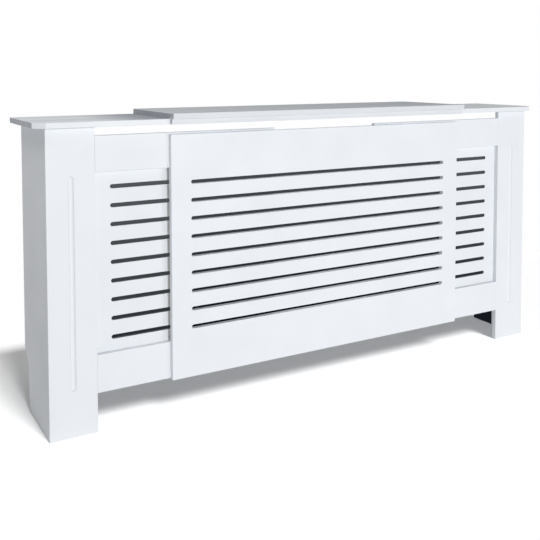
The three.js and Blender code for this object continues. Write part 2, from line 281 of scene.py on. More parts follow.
def flute_rings():
    """Radius and depth of each ring, from the flat face over the soft lip towards the bed."""
    wall = math.acos(1 - FLUTE_DEPTH / FLUTE_RADIUS)
    rim = FLUTE_RADIUS * math.sin(wall)
    rings = [
        (rim + FLUTE_LIP * share, FLUTE_LIP * FLUTE_LIP_DROP * (1 - share) ** 2)
        for share in (1.0, 0.66, 0.33)
    ]
    for step in range(1, FLUTE_WALL_STEPS):
        turn = wall * (1 - step / FLUTE_WALL_STEPS)
        rings.append((
            FLUTE_RADIUS * math.sin(turn),
            FLUTE_DEPTH - FLUTE_RADIUS * (1 - math.cos(turn)),
        ))
    return rings


def fluted_board(low, high):
    """Board between two corners with the flute in its front face."""
    middle_x = (low.x + high.x) / 2
    flute_low = low.z + FLUTE_BOTTOM
    flute_high = high.z - FLUTE_TOP_MARGIN
    middle_z = (flute_low + flute_high) / 2
    half_straight = (flute_high - flute_low) / 2 - FLUTE_RADIUS
    shape = bmesh.new()
    corners = ((low.x, low.z), (high.x, low.z), (high.x, high.z), (low.x, high.z))
    front = [shape.verts.new((x, low.y, z)) for x, z in corners]
    back = [shape.verts.new((x, high.y, z)) for x, z in corners]
    shape.faces.new(back)
    for a in range(4):
        b = (a + 1) % 4
        shape.faces.new((front[a], back[a], back[b], front[b]))
    loops = [
        [
            shape.verts.new((middle_x + x, low.y + depth, middle_z + z))
            for x, z in stadium(radius, half_straight)
        ]
        for radius, depth in flute_rings()
    ]
    count = len(loops[0])
    for outer, inner in zip(loops, loops[1:]):
        for a in range(count):
            b = (a + 1) % count
            shape.faces.new((outer[a], outer[b], inner[b], inner[a])).smooth = True
    bed = [
        shape.verts.new((middle_x, low.y + FLUTE_DEPTH, middle_z + z))
        for z in (half_straight, -half_straight)
    ]
    for a in range(count):
        b = (a + 1) % count
        ends = [bed[0] if i < count // 2 else bed[1] for i in (b, a)]
        ring = list(dict.fromkeys([loops[-1][a], loops[-1][b], *ends]))
        shape.faces.new(ring).smooth = True
    border = [shape.edges.get((loops[0][a], loops[0][(a + 1) % count])) for a in range(count)]
    border += [shape.edges.get((front[a], front[(a + 1) % 4])) for a in range(4)]
    bmesh.ops.triangle_fill(shape, use_beauty=True, edges=border)
    bmesh.ops.recalc_face_normals(shape, faces=shape.faces)
    return shape


def corners_of(node):
    """The low and the high corner of a CAD node's box."""
    low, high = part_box(node)
    return Vector(low), Vector(high)


for hand in UNITS:
    flute = fluted_board(*corners_of(f"{hand}_front_post"))
    mesh = shape_to_mesh(flute, f"{hand}_fluted_post")
    post = new_piece(f"{hand}_fluted_post", ease_edges(mesh, BOARD_ARRIS), WHITE_PAINT)
    stand_for(post, f"{hand}_front_post", f"{hand}_unit")

# ----------------------------------------------
# Rails. Plain boards that butt against the inner edge of the post and run in behind the centre
# panel. Their eased arrises leave a hairline at the joint with the post.
# ----------------------------------------------
for hand in UNITS:
    for level in ("upper", "lower"):
        painted_board(f"{hand}_{level}_rail", f"{hand}_unit")

# ----------------------------------------------
# Side grilles. Thin board with nine long slots cut by a router, so their ends are half rounds,
# glued and screwed from behind to the post and the rails.
# ----------------------------------------------
SLOT_HEIGHT = 0.011
SLOT_COUNT = 9
LOWEST_SLOT = 0.241
SLOT_PITCH = 0.050
HIGHEST_SLOT = LOWEST_SLOT + (SLOT_COUNT - 1) * SLOT_PITCH
SLOT_ARRIS = 0.0005
SIDE_SLOT_START = 0.170                   # from the outer face of the unit
SIDE_SLOT_MARGIN = 0.045                  # solid border at the inner end
# Painted shade: the walls of the side grilles' slots are given a dark grey, so that the slots read
# dark.
SLOT_WALL_PAINTED_SHADE = (0.13, 0.14, 0.155, 1.0)
SLOT_WALL_PAINTED_SHADE_MOTTLE = (0.09, 0.097, 0.11, 1.0)
SLOT_NOSE_STEPS = 10
NOSE_SHARE = 0.4999                       # of the slot's height, a hair under a half round
WELD_DISTANCE = 5e-6
ZINC = (0.66, 0.68, 0.70, 1.0)
ZINC_DULL = (0.52, 0.54, 0.57, 1.0)
ZINC_RELIEF = 0.00002
ZINC_CLOUDS = 160.0
ZINC_SCRATCHES = (90, 2500, 900)          # to the metre along X, Y and Z
SCREW_COLUMNS = 4
SCREW_EDGE = 0.060                        # from the inner end of the grille and from the post
SCREW_SIDES = 20
SHANK_SIDES = 12
SHANK_TIP = 0.0002
CROWN_SHARE = 0.78                        # these three are shares of the head's radius
RECESS_REACH = 0.58
RECESS_WAIST = 0.17
SKIRT_SHARE = 0.55                        # of the head's height, the rest is the crown
SHANK_SINK = -0.98                        # of the shank's length, so that it meets the head
GRILLE_SCREW = {"Head Radius": 0.0038, "Head Height": 0.0007}


def group_input(tree, label, kind):
    tree.interface.new_socket(label, in_out="INPUT", socket_type=f"NodeSocket{kind}")


def shape_tree(name, numbers):
    """A Geometry Nodes tree with number inputs and a finish, up to its input and output."""
    tree = bpy.data.node_groups.new(name, "GeometryNodeTree")
    group_input(tree, "Geometry", "Geometry")
    for label in numbers:
        group_input(tree, label, "Float")
    group_input(tree, "Finish", "Material")
    tree.interface.new_socket("Geometry", in_out="OUTPUT", socket_type="NodeSocketGeometry")
    return tree, tree.nodes.new("NodeGroupInput"), tree.nodes.new("NodeGroupOutput")


def finish_tree(tree, given, result, made):
    """Ends a tree in real geometry with its material set."""
    real = new_node(tree, "GeometryNodeRealizeInstances", {"Geometry": made})
    coat = new_node(tree, "GeometryNodeSetMaterial", {
        "Geometry": (real, "Geometry"), "Material": (given, "Finish"),
    })
    feed(result, {"Geometry": (coat, "Geometry")})


def joined(tree, *parts):
    node = new_node(tree, "GeometryNodeJoinGeometry")
    for part in parts:
        feed(node, {"Geometry": part})
    return node, "Geometry"


def moved(tree, geometry, by):
    node = new_node(tree, "GeometryNodeTransform", {"Geometry": geometry, "Translation": by})
    return node, "Geometry"


def welded(tree, mesh):
    node = new_node(tree, "GeometryNodeMergeByDistance", {
        "Geometry": mesh, "Distance": WELD_DISTANCE,
    })
    return node, "Geometry"


def filled_sheet(tree, outlines):
    """Flat sheet in X and Y inside the outer outline and outside the inner ones."""
    fill = new_node(tree, "GeometryNodeFillCurve", {"Curve": outlines})
    return welded(tree, (fill, "Mesh"))


def thick_sheet(tree, sheet, thickness):
    """Closed solid of a flat sheet raised along Z by a thickness."""
    grow = new_node(tree, "GeometryNodeExtrudeMesh", {
        "Mesh": sheet, "Individual": False, "Offset": vector_node(tree, Z=1.0),
        "Offset Scale": thickness,
    })
    underside = new_node(tree, "GeometryNodeFlipFaces", {"Mesh": sheet})
    return welded(tree, joined(tree, (grow, "Mesh"), (underside, "Mesh")))


def oblong(tree, width, height):
    node = new_node(tree, "GeometryNodeCurvePrimitiveQuadrilateral", {
        "Width": width, "Height": height,
    })
    return node, "Curve"


def cone(tree, sides, bottom, top, depth):
    node = new_node(tree, "GeometryNodeMeshCone", {
        "Vertices": sides, "Radius Bottom": bottom, "Radius Top": top, "Depth": depth,
    })
    return node, "Mesh"


def slotted_board_tree():
    """A board standing in X and Z, on the middle of its lower front edge, with its slots."""
    tree, given, result = shape_tree("slotted_board", (
        "Width", "Height", "Thickness", "Slot Length", "Slot Height", "Slot Pitch",
        "First Slot", "Slot Shift",
    ))
    group_input(tree, "Slot Count", "Int")
    group_input(tree, "Foot", "Vector")
    half_height = math_node(tree, "MULTIPLY", (given, "Height"), 0.5)
    border = oblong(tree, (given, "Width"), (given, "Height"))
    raised = moved(tree, border, vector_node(tree, Y=half_height))

    rounded = new_node(tree, "GeometryNodeFilletCurve", {
        "Curve": oblong(tree, (given, "Slot Length"), (given, "Slot Height")),
        "Radius": math_node(tree, "MULTIPLY", (given, "Slot Height"), NOSE_SHARE),
        "Count": SLOT_NOSE_STEPS,
    }, mode="POLY")
    column = new_node(tree, "GeometryNodeMeshLine", {
        "Count": (given, "Slot Count"),
        "Start Location": vector_node(tree, X=(given, "Slot Shift"), Y=(given, "First Slot")),
        "Offset": vector_node(tree, Y=(given, "Slot Pitch")),
    }, mode="OFFSET")
    slots = new_node(tree, "GeometryNodeInstanceOnPoints", {
        "Points": (column, "Mesh"), "Instance": (rounded, "Curve"),
    })
    cut = new_node(tree, "GeometryNodeRealizeInstances", {"Geometry": (slots, "Instances")})

    sheet = filled_sheet(tree, joined(tree, (cut, "Geometry"), raised))
    place = new_node(tree, "ShaderNodeVectorMath", {
        0: (given, "Foot"), 1: vector_node(tree, Y=(given, "Thickness")),
    }, operation="ADD")
    upright = new_node(tree, "GeometryNodeTransform", {
        "Geometry": thick_sheet(tree, sheet, (given, "Thickness")),
        "Translation": (place, "Vector"), "Rotation": (math.pi / 2, 0, 0),
    })
    finish_tree(tree, given, result, (upright, "Geometry"))
    return tree


def cross_head_screws_tree():
    """A cross-head screw on every point, standing out along the point's facing attribute."""
    tree, given, result = shape_tree("cross_head_screws", (
        "Head Radius", "Head Height", "Shank Radius", "Shank Length",
    ))

    def part_of(label, share):
        return math_node(tree, "MULTIPLY", (given, label), share)

    crown = part_of("Head Radius", CROWN_SHARE)
    skirt_height = part_of("Head Height", SKIRT_SHARE)
    skirt = cone(tree, SCREW_SIDES, (given, "Head Radius"), crown, skirt_height)
    rim = new_node(tree, "GeometryNodeCurvePrimitiveCircle", {
        "Resolution": SCREW_SIDES, "Radius": crown,
    })
    recess = new_node(tree, "GeometryNodeCurveStar", {
        "Points": 4, "Outer Radius": part_of("Head Radius", RECESS_REACH),
        "Inner Radius": part_of("Head Radius", RECESS_WAIST),
    })
    plate = filled_sheet(tree, joined(tree, (rim, "Curve"), (recess, "Curve")))
    crown_plate = thick_sheet(tree, plate, part_of("Head Height", 1 - SKIRT_SHARE))
    lifted = moved(tree, crown_plate, vector_node(tree, Z=skirt_height))
    shank = cone(tree, SHANK_SIDES, SHANK_TIP, (given, "Shank Radius"), (given, "Shank Length"))
    sunk = moved(tree, shank, vector_node(tree, Z=part_of("Shank Length", SHANK_SINK)))

    facing = new_node(
        tree, "GeometryNodeInputNamedAttribute", {"Name": "facing"}, data_type="FLOAT_VECTOR"
    )
    turned = new_node(tree, "FunctionNodeAlignRotationToVector", {"Vector": (facing, "Attribute")})
    spread = new_node(tree, "GeometryNodeInstanceOnPoints", {
        "Points": (given, "Geometry"), "Instance": joined(tree, skirt, lifted, sunk),
        "Rotation": (turned, "Rotation"),
    })
    finish_tree(tree, given, result, (spread, "Instances"))
    return tree


def run_tree(name, tree, values, start=None):
    """A new piece with the plain mesh that a Geometry Nodes tree makes from named inputs."""
    piece = bpy.data.objects.new(name, start or bpy.data.meshes.new(name))
    bpy.context.scene.collection.objects.link(piece)
    maker = piece.modifiers.new("maker", "NODES")
    maker.node_group = tree
    for item in tree.interface.items_tree:
        if item.in_out == "INPUT" and item.name in values:
            maker[item.identifier] = values[item.name]
    graph = bpy.context.evaluated_depsgraph_get()
    mesh = bpy.data.meshes.new_from_object(piece.evaluated_get(graph))
    piece.modifiers.clear()
    piece.data = mesh
    mesh.name = name
    mesh.materials.clear()
    mesh.materials.append(values["Finish"])
    return piece


def zinc_plate_group():
    """Bright zinc plate: fine crystals, cloudy passivation and light handling scratches."""
    tree, given, result = finish_group("zinc_plate", ("Bright", "Dull"), ("Crystal Scale",))
    place = object_place(tree)
    crystals = new_node(tree, "ShaderNodeTexVoronoi", {
        "Vector": place, "Scale": (given, "Crystal Scale"),
    })
    cloud = noise_node(tree, ZINC_CLOUDS, 3.0, place)
    stretch = new_node(tree, "ShaderNodeMapping", {"Vector": place, "Scale": ZINC_SCRATCHES})
    tone = math_node(tree, "MULTIPLY", (crystals, "Distance"), cloud, use_clamp=True)
    feed(result, {
        "Color": mix_colours(tree, tone, (given, "Bright"), (given, "Dull")),
        "Roughness": range_node(tree, cloud, 0.26, 0.44),
        "Height": noise_node(tree, 1.0, 1.0, (stretch, "Vector")),
    })
    return tree


SLOTTED_BOARD = slotted_board_tree()
CROSS_HEAD_SCREWS = cross_head_screws_tree()
ZINC_PLATE = finish_material("zinc_plate", zinc_plate_group(), {
    "Bright": ZINC, "Dull": ZINC_DULL, "Crystal Scale": 900.0,
}, ZINC_RELIEF, metallic=1.0, ior=2.0)
SHADED_SLOT_WALL = paint_material(
    "slot_wall_painted_shade", SLOT_WALL_PAINTED_SHADE, SLOT_WALL_PAINTED_SHADE_MOTTLE,
    mottle=30.0, peel=600.0, roughness=0.7, relief=COARSE_RELIEF,
)


def slotted_board(name, node, body, slot_ends):
    """Grille on the node's own box, with slots between two X values."""
    low, high = corners_of(node)
    start, end = sorted(slot_ends)
    board = run_tree(name, SLOTTED_BOARD, {
        "Width": high.x - low.x,
        "Height": high.z - low.z,
        "Thickness": high.y - low.y,
        "Slot Length": end - start,
        "Slot Height": SLOT_HEIGHT,
        "Slot Pitch": SLOT_PITCH,
        "First Slot": LOWEST_SLOT - low.z,
        "Slot Shift": (start + end) / 2 - (low.x + high.x) / 2,
        "Slot Count": SLOT_COUNT,
        "Foot": ((low.x + high.x) / 2, low.y, low.z),
        "Finish": WHITE_PAINT,
    })
    ease_edges(board.data, SLOT_ARRIS)
    stand_for(board, node, body)
    return board


def paint_shade_in_slots(board, slot_ends):
    """Paints shade on the walls of the narrow slots, in a dark grey."""
    board.data.materials.append(SHADED_SLOT_WALL)
    start, end = sorted(slot_ends)
    for face in board.data.polygons:
        in_rows = LOWEST_SLOT - SLOT_HEIGHT < face.center.z < HIGHEST_SLOT + SLOT_HEIGHT
        in_length = start - SLOT_ARRIS < face.center.x < end + SLOT_ARRIS
        face.material_index = int(in_rows and in_length and abs(face.normal.y) < 0.5)


def screws(name, body, places, sizes):
    """Screws as one piece. Each place is a seat point and the direction that the head faces."""
    points = bpy.data.meshes.new(name)
    points.from_pydata([seat for seat, _ in places], [], [])
    facing = points.attributes.new("facing", "FLOAT_VECTOR", "POINT")
    for index, (_, direction) in enumerate(places):
        facing.data[index].vector = direction
    piece = run_tree(name, CROSS_HEAD_SCREWS, {**sizes, "Finish": ZINC_PLATE}, points)
    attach(piece, body)
    return piece


def inner_and_outer(node, inward):
    """X of a node's inner and outer ends, seen from the middle of the cabinet."""
    low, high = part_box(node)
    return (high[0], low[0]) if inward > 0 else (low[0], high[0])


def spaced(start, end, count):
    return [start + (end - start) * step / (count - 1) for step in range(count)]


for hand, inward in UNITS.items():
    outer = inner_and_outer(f"{hand}_side_panel", inward)[1]
    inner, post_side = inner_and_outer(f"{hand}_upper_rail", inward)
    slot_ends = (outer + inward * SIDE_SLOT_START, inner - inward * SIDE_SLOT_MARGIN)
    grille = f"{hand}_grille_panel"
    board = slotted_board(f"{hand}_slotted_grille", grille, f"{hand}_unit", slot_ends)
    paint_shade_in_slots(board, slot_ends)

    low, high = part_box(grille)
    upper_rail_z = (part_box(f"{hand}_upper_rail")[0][2] + high[2]) / 2
    lower_rail_z = (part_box(f"{hand}_lower_rail")[1][2] + low[2]) / 2
    post_x = (post_side + inner_and_outer(grille, inward)[1]) / 2
    row = spaced(inner - inward * SCREW_EDGE, post_side + inward * SCREW_EDGE, SCREW_COLUMNS)
    seats = [(x, high[1], z) for z in (lower_rail_z, upper_rail_z) for x in row]
    seats += [(post_x, high[1], z) for z in spaced(lower_rail_z, upper_rail_z, SCREW_COLUMNS)]
    places = [(seat, (0, 1, 0)) for seat in seats]
    sizes = {**GRILLE_SCREW, "Shank Radius": 0.0015, "Shank Length": 0.012}
    screws(f"{hand}_grille_screws", f"{hand}_unit", places, sizes)

# ----------------------------------------------
# Corner blocks. Short lengths of planed softwood with one corner sawn off, glued and screwed
# behind each post and under each side top to square up the joint.
# ----------------------------------------------
WOOD_ARRIS = 0.0008
WOOD_RELIEF = 0.00015
WOOD_DRAW = (1.0, 1.0, 0.06)              # draws the rings and the fibre out along Z
WOOD_FIBRE = 1100.0
EARLY_WOOD = (0.72, 0.56, 0.36, 1.0)
LATE_WOOD = (0.50, 0.33, 0.17, 1.0)
BLOCK_SCREW = {
    "Head Radius": 0.0034, "Head Height": 0.0007, "Shank Radius": 0.0015, "Shank Length": 0.014,
}
BLOCK_SCREW_INSET = 0.006                 # from the square corner's own edge of the block
BLOCK_SCREW_ENDS = 0.015


def softwood_group():
    """Planed softwood: wavering growth rings drawn out along Z, with fine fibre."""
    tree, given, result = finish_group("softwood", ("Early", "Late"), ("Ring Scale", "Turn"))
    along = new_node(tree, "ShaderNodeVectorRotate", {
        "Vector": object_place(tree), "Angle": (given, "Turn"),
    }, rotation_type="X_AXIS")
    drawn = new_node(tree, "ShaderNodeMapping", {
        "Vector": (along, "Vector"), "Scale": WOOD_DRAW,
    })
    rings = new_node(tree, "ShaderNodeTexWave", {
        "Vector": (drawn, "Vector"), "Scale": (given, "Ring Scale"),
        "Distortion": 3.0, "Detail": 2.0,
    }, bands_direction="DIAGONAL")
    fibre = noise_node(tree, WOOD_FIBRE, 2.0, (drawn, "Vector"))
    tone = math_node(tree, "MULTIPLY", (rings, "Fac"), fibre)
    spread = range_node(tree, tone, 0.0, 1.0, 0.05, 0.6)
    feed(result, {
        "Color": mix_colours(tree, spread, (given, "Early"), (given, "Late")),
        "Roughness": range_node(tree, fibre, 0.55, 0.75),
        "Height": fibre,
    })
    return tree


SOFTWOOD = softwood_group()


def wood_material(name, turn):
    """Softwood with its grain turned about X from upright."""
    values = {"Early": EARLY_WOOD, "Late": LATE_WOOD, "Ring Scale": 42.0, "Turn": turn}
    return finish_material(name, SOFTWOOD, values, WOOD_RELIEF)


UPRIGHT_WOOD = wood_material("softwood_upright", 0.0)
LYING_WOOD = wood_material("softwood_lying", math.pi / 2)


def wooden_piece(node, body, material):
    piece = new_piece(f"{node}_finished", ease_edges(copy_of_node(node), WOOD_ARRIS), material)
    stand_for(piece, node, body)


for hand, inward in UNITS.items():
    places = []
    for end in ("front", "back"):
        node = f"{hand}_top_block_{end}"
        wooden_piece(node, f"{hand}_unit", LYING_WOOD)
        low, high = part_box(node)
        face = inner_and_outer(node, inward)[0]
        for y in (low[1] + BLOCK_SCREW_ENDS, high[1] - BLOCK_SCREW_ENDS):
            places.append(((face, y, high[2] - BLOCK_SCREW_INSET), (inward, 0, 0)))
    for level in ("lower", "upper"):
        node = f"{hand}_post_block_{level}"
        wooden_piece(node, f"{hand}_unit", UPRIGHT_WOOD)
        low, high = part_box(node)
        corner = inner_and_outer(node, inward)[1]
        for z in (low[2] + BLOCK_SCREW_ENDS, high[2] - BLOCK_SCREW_ENDS):
            places.append(((corner + inward * BLOCK_SCREW_INSET, high[1], z), (0, 1, 0)))
    screws(f"{hand}_block_screws", f"{hand}_unit", places, BLOCK_SCREW)

# ----------------------------------------------
# Side tops. Boards that overhang the post and the side, with the outer front corner sawn off at
# 45 degrees, and rolled along their length. Their sawn ends soak up paint and stay greyer.
# ----------------------------------------------
SAWN_END_PAINT = paint_material(
    "sawn_end_paint", (0.50, 0.52, 0.56, 1.0), (0.44, 0.46, 0.50, 1.0),
    mottle=60.0, peel=700.0, roughness=0.6, relief=COARSE_RELIEF,
)
# Painted shade on the left top, greyer and duller towards the centre top.
INNER_END_SHADE = (0.42, 0.45, 0.49, 1.0)
INNER_END_DULLNESS = 0.34
INNER_END_SHADE_FROM = -0.53                       # X where the painted shade is darkest
INNER_END_SHADE_TO = -0.72                         # X from which there is no painted shade
SQUARE_ON = 0.95                          # least share of a face's normal that counts as its side


def inner_end_shade_group():
    """Painted shade: the inner part of the left top is greyer and duller towards the centre top.
    """
    tree, given, result = finish_group("painted_shade_top", ("Color", "Painted Shade"), ("Roughness",))
    place = new_node(tree, "ShaderNodeSeparateXYZ", {"Vector": object_place(tree)})
    shaded = range_node(
        tree, (place, "X"), 1.0, 0.0, INNER_END_SHADE_FROM, INNER_END_SHADE_TO, interpolation_type="SMOOTHSTEP"
    )
    duller = math_node(tree, "MULTIPLY", shaded, INNER_END_DULLNESS)
    feed(result, {
        "Color": mix_colours(tree, shaded, (given, "Color"), (given, "Painted Shade")),
        "Roughness": math_node(tree, "ADD", (given, "Roughness"), duller),
    })
    return tree


def shade_inner_end(material):
    tree = material.node_tree
    surface = tree.nodes["Principled BSDF"]
    darkening = new_node(tree, "ShaderNodeGroup", {"Painted Shade": INNER_END_SHADE}, node_tree=inner_end_shade_group())
    for label, socket in (("Color", "Base Color"), ("Roughness", "Roughness")):
        before = surface.inputs[socket].links[0]
        feed(darkening, {label: (before.from_node, before.from_socket.name)})
        feed(surface, {socket: (darkening, label)})


def rolled_paint(name, roughness):
    """Paint rolled along the board, in long faint streaks."""
    return paint_material(
        name, (0.80, 0.83, 0.87, 1.0), (0.66, 0.69, 0.73, 1.0),
        mottle=24.0, peel=300.0, roughness=roughness, grain=0.06,
    )


def top_board(node, body, upper_paint):
    """A painted board with one coat on its sawn ends and another on its upper face."""
    board = painted_board(node, body)
    board.data.materials.append(SAWN_END_PAINT)
    board.data.materials.append(upper_paint)
    for face in board.data.polygons:
        if abs(face.normal.x) > SQUARE_ON:
            face.material_index = 1
        elif face.normal.z > SQUARE_ON:
            face.material_index = 2
    return board


SIDE_TOP_PAINTS = {"left": rolled_paint("left_top_paint", 0.42)}
SIDE_TOP_PAINTS["right"] = rolled_paint("right_top_paint", 0.45)
# Only the left top gets this painted shade.
shade_inner_end(SIDE_TOP_PAINTS["left"])
for hand, paint in SIDE_TOP_PAINTS.items():
    top_board(f"{hand}_top_board", f"{hand}_unit", paint)

# ----------------------------------------------
# Wall brackets. Bent zinc-plated steel, held to the inside of each side panel by two pan-head
# screws, with a free flange for one screw into the wall.
# ----------------------------------------------
METAL_ARRIS = 0.0003
BRACKET_SCREW = {
    "Head Radius": 0.004, "Head Height": 0.0022, "Shank Radius": 0.0016, "Shank Length": 0.013,
}


def plated_copy(node, body):
    piece = new_piece(f"{node}_finished", ease_edges(copy_of_node(node), METAL_ARRIS), ZINC_PLATE)
    stand_for(piece, node, body)


for hand, inward in UNITS.items():
    plated_copy(f"{hand}_wall_bracket", f"{hand}_unit")
    for number in (1, 2):
        node = f"{hand}_bracket_screw_{number}"
        low, high = corners_of(node)
        middle = (low + high) / 2
        seat = inner_and_outer(node, inward)[0] - inward * BRACKET_SCREW["Head Height"]
        places = [((seat, middle.y, middle.z), (inward, 0, 0))]
        screw = screws(f"{node}_finished", f"{hand}_unit", places, BRACKET_SCREW)
        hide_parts(node)

# ----------------------------------------------
# Centre panel. Thicker fibreboard with the same nine slots, routed and sprayed as one piece. It
# hangs in front of the rails of both units, and its own weight rests on the clamp studs.
# ----------------------------------------------
CENTRE_SLOT_MARGIN = 0.058
low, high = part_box("centre_grille_panel")
slot_ends = (low[0] + CENTRE_SLOT_MARGIN, high[0] - CENTRE_SLOT_MARGIN)
slotted_board("centre_slotted_panel", "centre_grille_panel", "centre", slot_ends)

# ----------------------------------------------
# Guide battens. Planed softwood strips on the back of the centre panel. They run in the space
# between the rails and keep the units square as they slide.
# ----------------------------------------------
for hand in UNITS:
    wooden_piece(f"{hand}_guide_batten", "centre", UPRIGHT_WOOD)

# ----------------------------------------------
# Clamps. An M6 stud stands out of the centre panel through a slot of the side grille, and a
# wide washer and a cast wing nut pull the grille against the batten.
# ----------------------------------------------
THREAD_PITCH = 0.001
THREAD_DEPTH = 0.00045
THREAD_SIDES = 18
THREAD_STEPS = 6                          # rings to one turn of the thread
THREAD_CHAMFER = 0.6                      # slope of the chamfer at both ends
ROUND_SIDES = 48
WASHER_HOLE = 0.0033
HUB_FOOT_RADIUS = 0.0060
HUB_TOP_RADIUS = 0.0050
HUB_LENGTH = 0.0080
HUB_FOOT_SHARE = 0.15                     # of its length that is straight
WING_REACH = 0.0150
WING_THICKNESS = 0.0024
NUT_BORE = 0.00308
CAST_GRAIN = 0.0003                       # voxel that melts wings and hub into one casting
# Wing outline in shares of the wing's reach and of the hub's length, as in the solid.
WING_OUTLINE = (
    (0.0, 0.1), (0.5, 0.12), (0.8, 0.45), (1.0, 1.0), (0.95, 1.4), (0.75, 1.5), (0.55, 1.2),
    (0.38, 0.8), (0.0, 0.8),
)


def turned(rings, sides):
    """Solid of revolution about Y. Each ring gives its radius at an angle, and its Y."""
    shape = bmesh.new()
    loops = []
    for radius_at, y in rings:
        loop = []
        for side in range(sides):
            turn = 2 * math.pi * side / sides
            radius = radius_at(turn)
            loop.append(shape.verts.new((radius * math.cos(turn), y, radius * math.sin(turn))))
        loops.append(loop)
    for lower, upper in zip(loops, loops[1:]):
        for a in range(sides):
            b = (a + 1) % sides
            shape.faces.new((lower[a], lower[b], upper[b], upper[a])).smooth = True
    shape.faces.new(loops[0])
    shape.faces.new(loops[-1])
    bmesh.ops.recalc_face_normals(shape, faces=shape.faces)
    return shape


def steady(radius):
    return lambda turn: radius


def threaded_bar(radius, y_start, y_end):
    """Threaded bar along Y with both ends chamfered."""
    count = round((y_end - y_start) / THREAD_PITCH * THREAD_STEPS)
    rings = []
    for step in range(count + 1):
        y = y_start + (y_end - y_start) * step / count
        end = max(0.0, THREAD_PITCH - min(y - y_start, y_end - y))

        def radius_at(turn, y=y, end=end):
            phase = (y / THREAD_PITCH - turn / (2 * math.pi)) % 1.0
            return radius - max(THREAD_DEPTH * abs(2 * phase - 1), THREAD_CHAMFER * end)

        rings.append((radius_at, y))
    return turned(rings, THREAD_SIDES)


def cut(mesh, tool_shape):
    """Takes a tool's space out of a mesh."""
    piece = bpy.data.objects.new("work", mesh)
    tool = bpy.data.objects.new("tool", shape_to_mesh(tool_shape, "tool"))
    for item in (piece, tool):
        bpy.context.scene.collection.objects.link(item)
    difference = piece.modifiers.new("cut", "BOOLEAN")
    difference.operation = "DIFFERENCE"
    difference.solver = "EXACT"
    difference.object = tool
    graph = bpy.context.evaluated_depsgraph_get()
    result = bpy.data.meshes.new_from_object(piece.evaluated_get(graph))
    for item in (piece, tool):
        bpy.data.objects.remove(item)
    return result


def washer_mesh(radius, thickness):
    disc = turned([(steady(radius), 0.0), (steady(radius), thickness)], ROUND_SIDES)
    hole = turned([(steady(WASHER_HOLE), -0.01), (steady(WASHER_HOLE), 0.01)], ROUND_SIDES)
    return ease_edges(cut(shape_to_mesh(disc, "washer"), hole), METAL_ARRIS)


def wing_plate(hand):
    """One upswept wing as a flat plate in Y and Z."""
    shape = bmesh.new()
    outline = [(along * HUB_LENGTH, hand * out * WING_REACH) for out, along in WING_OUTLINE]
    sides = [
        [shape.verts.new((x, y, z)) for y, z in outline]
        for x in (-WING_THICKNESS / 2, WING_THICKNESS / 2)
    ]
    count = len(outline)
    for side in sides:
        shape.faces.new(side)
    for a in range(count):
        b = (a + 1) % count
        shape.faces.new((sides[0][a], sides[0][b], sides[1][b], sides[1][a]))
    bmesh.ops.recalc_face_normals(shape, faces=shape.faces)
    return shape


def wing_nut_mesh():
    """Hub and wings melted into one smooth casting, then bored."""
    casting = turned([
        (steady(HUB_FOOT_RADIUS), 0.0),
        (steady(HUB_FOOT_RADIUS), HUB_LENGTH * HUB_FOOT_SHARE),
        (steady(HUB_TOP_RADIUS), HUB_LENGTH),
    ], ROUND_SIDES)
    for hand in (-1, 1):
        plate = shape_to_mesh(wing_plate(hand), "wing")
        casting.from_mesh(plate)
        bpy.data.meshes.remove(plate)
    piece = bpy.data.objects.new("casting", shape_to_mesh(casting, "casting"))
    bpy.context.scene.collection.objects.link(piece)
    melt = piece.modifiers.new("melt", "REMESH")
    melt.mode = "VOXEL"
    melt.voxel_size = CAST_GRAIN
    melt.use_smooth_shade = True
    smooth = piece.modifiers.new("smooth", "SMOOTH")
    smooth.factor = 0.5
    smooth.iterations = 6
    graph = bpy.context.evaluated_depsgraph_get()
    mesh = bpy.data.meshes.new_from_object(piece.evaluated_get(graph))
    bpy.data.objects.remove(piece)
    bore = turned([(steady(NUT_BORE), -0.01), (steady(NUT_BORE), 0.03)], ROUND_SIDES)
    return cut(mesh, bore)


def clamp_part(node, body, mesh, place):
    """A finished part of a clamp, made at the origin along Y and moved to its place."""
    mesh.transform(Matrix.Translation(place))
    piece = new_piece(f"{node}_finished", mesh, ZINC_PLATE)
    stand_for(piece, node, body)


WING_NUT = wing_nut_mesh()
for hand in UNITS:
    for level in ("lower", "upper"):
        clamp = f"{hand}_{level}"
        low, high = corners_of(f"{clamp}_clamp_stud")
        axis = (low + high) / 2
        stud = threaded_bar((high.z - low.z) / 2, low.y, high.y)
        clamp_part(
            f"{clamp}_clamp_stud", "centre", shape_to_mesh(stud, "stud"), (axis.x, 0, axis.z)
        )
        low, high = corners_of(f"{clamp}_clamp_washer")
        washer = washer_mesh((high.z - low.z) / 2, high.y - low.y)
        clamp_part(f"{clamp}_clamp_washer", "centre", washer, (axis.x, low.y, axis.z))
        nut = f"{clamp}_wing_nut"
        clamp_part(nut, nut, WING_NUT.copy(), (axis.x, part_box(nut)[0][1], axis.z))

# ----------------------------------------------
# Centre top and its lip. A loose board laid over both side tops, with a square strip glued under
# its front edge that hangs in front of theirs. Their front faces are painted greyer.
# ----------------------------------------------
CENTRE_TOP_PAINT = rolled_paint("centre_top_paint", 0.78)
# The front faces of the centre top and its lip are painted greyer than the rest.
GREYER_FRONT_PAINT = paint_material(
    "greyer_front_paint", (0.71, 0.737, 0.768, 1.0), (0.68, 0.707, 0.74, 1.0),
    mottle=20.0, peel=420.0, roughness=0.5, grain=0.3,
)
for node in ("centre_top_board", "centre_top_lip"):
    board = top_board(node, "centre", CENTRE_TOP_PAINT)
    board.data.materials.append(GREYER_FRONT_PAINT)
    for face in board.data.polygons:
        if face.normal.y < -SQUARE_ON:
            face.material_index = 3
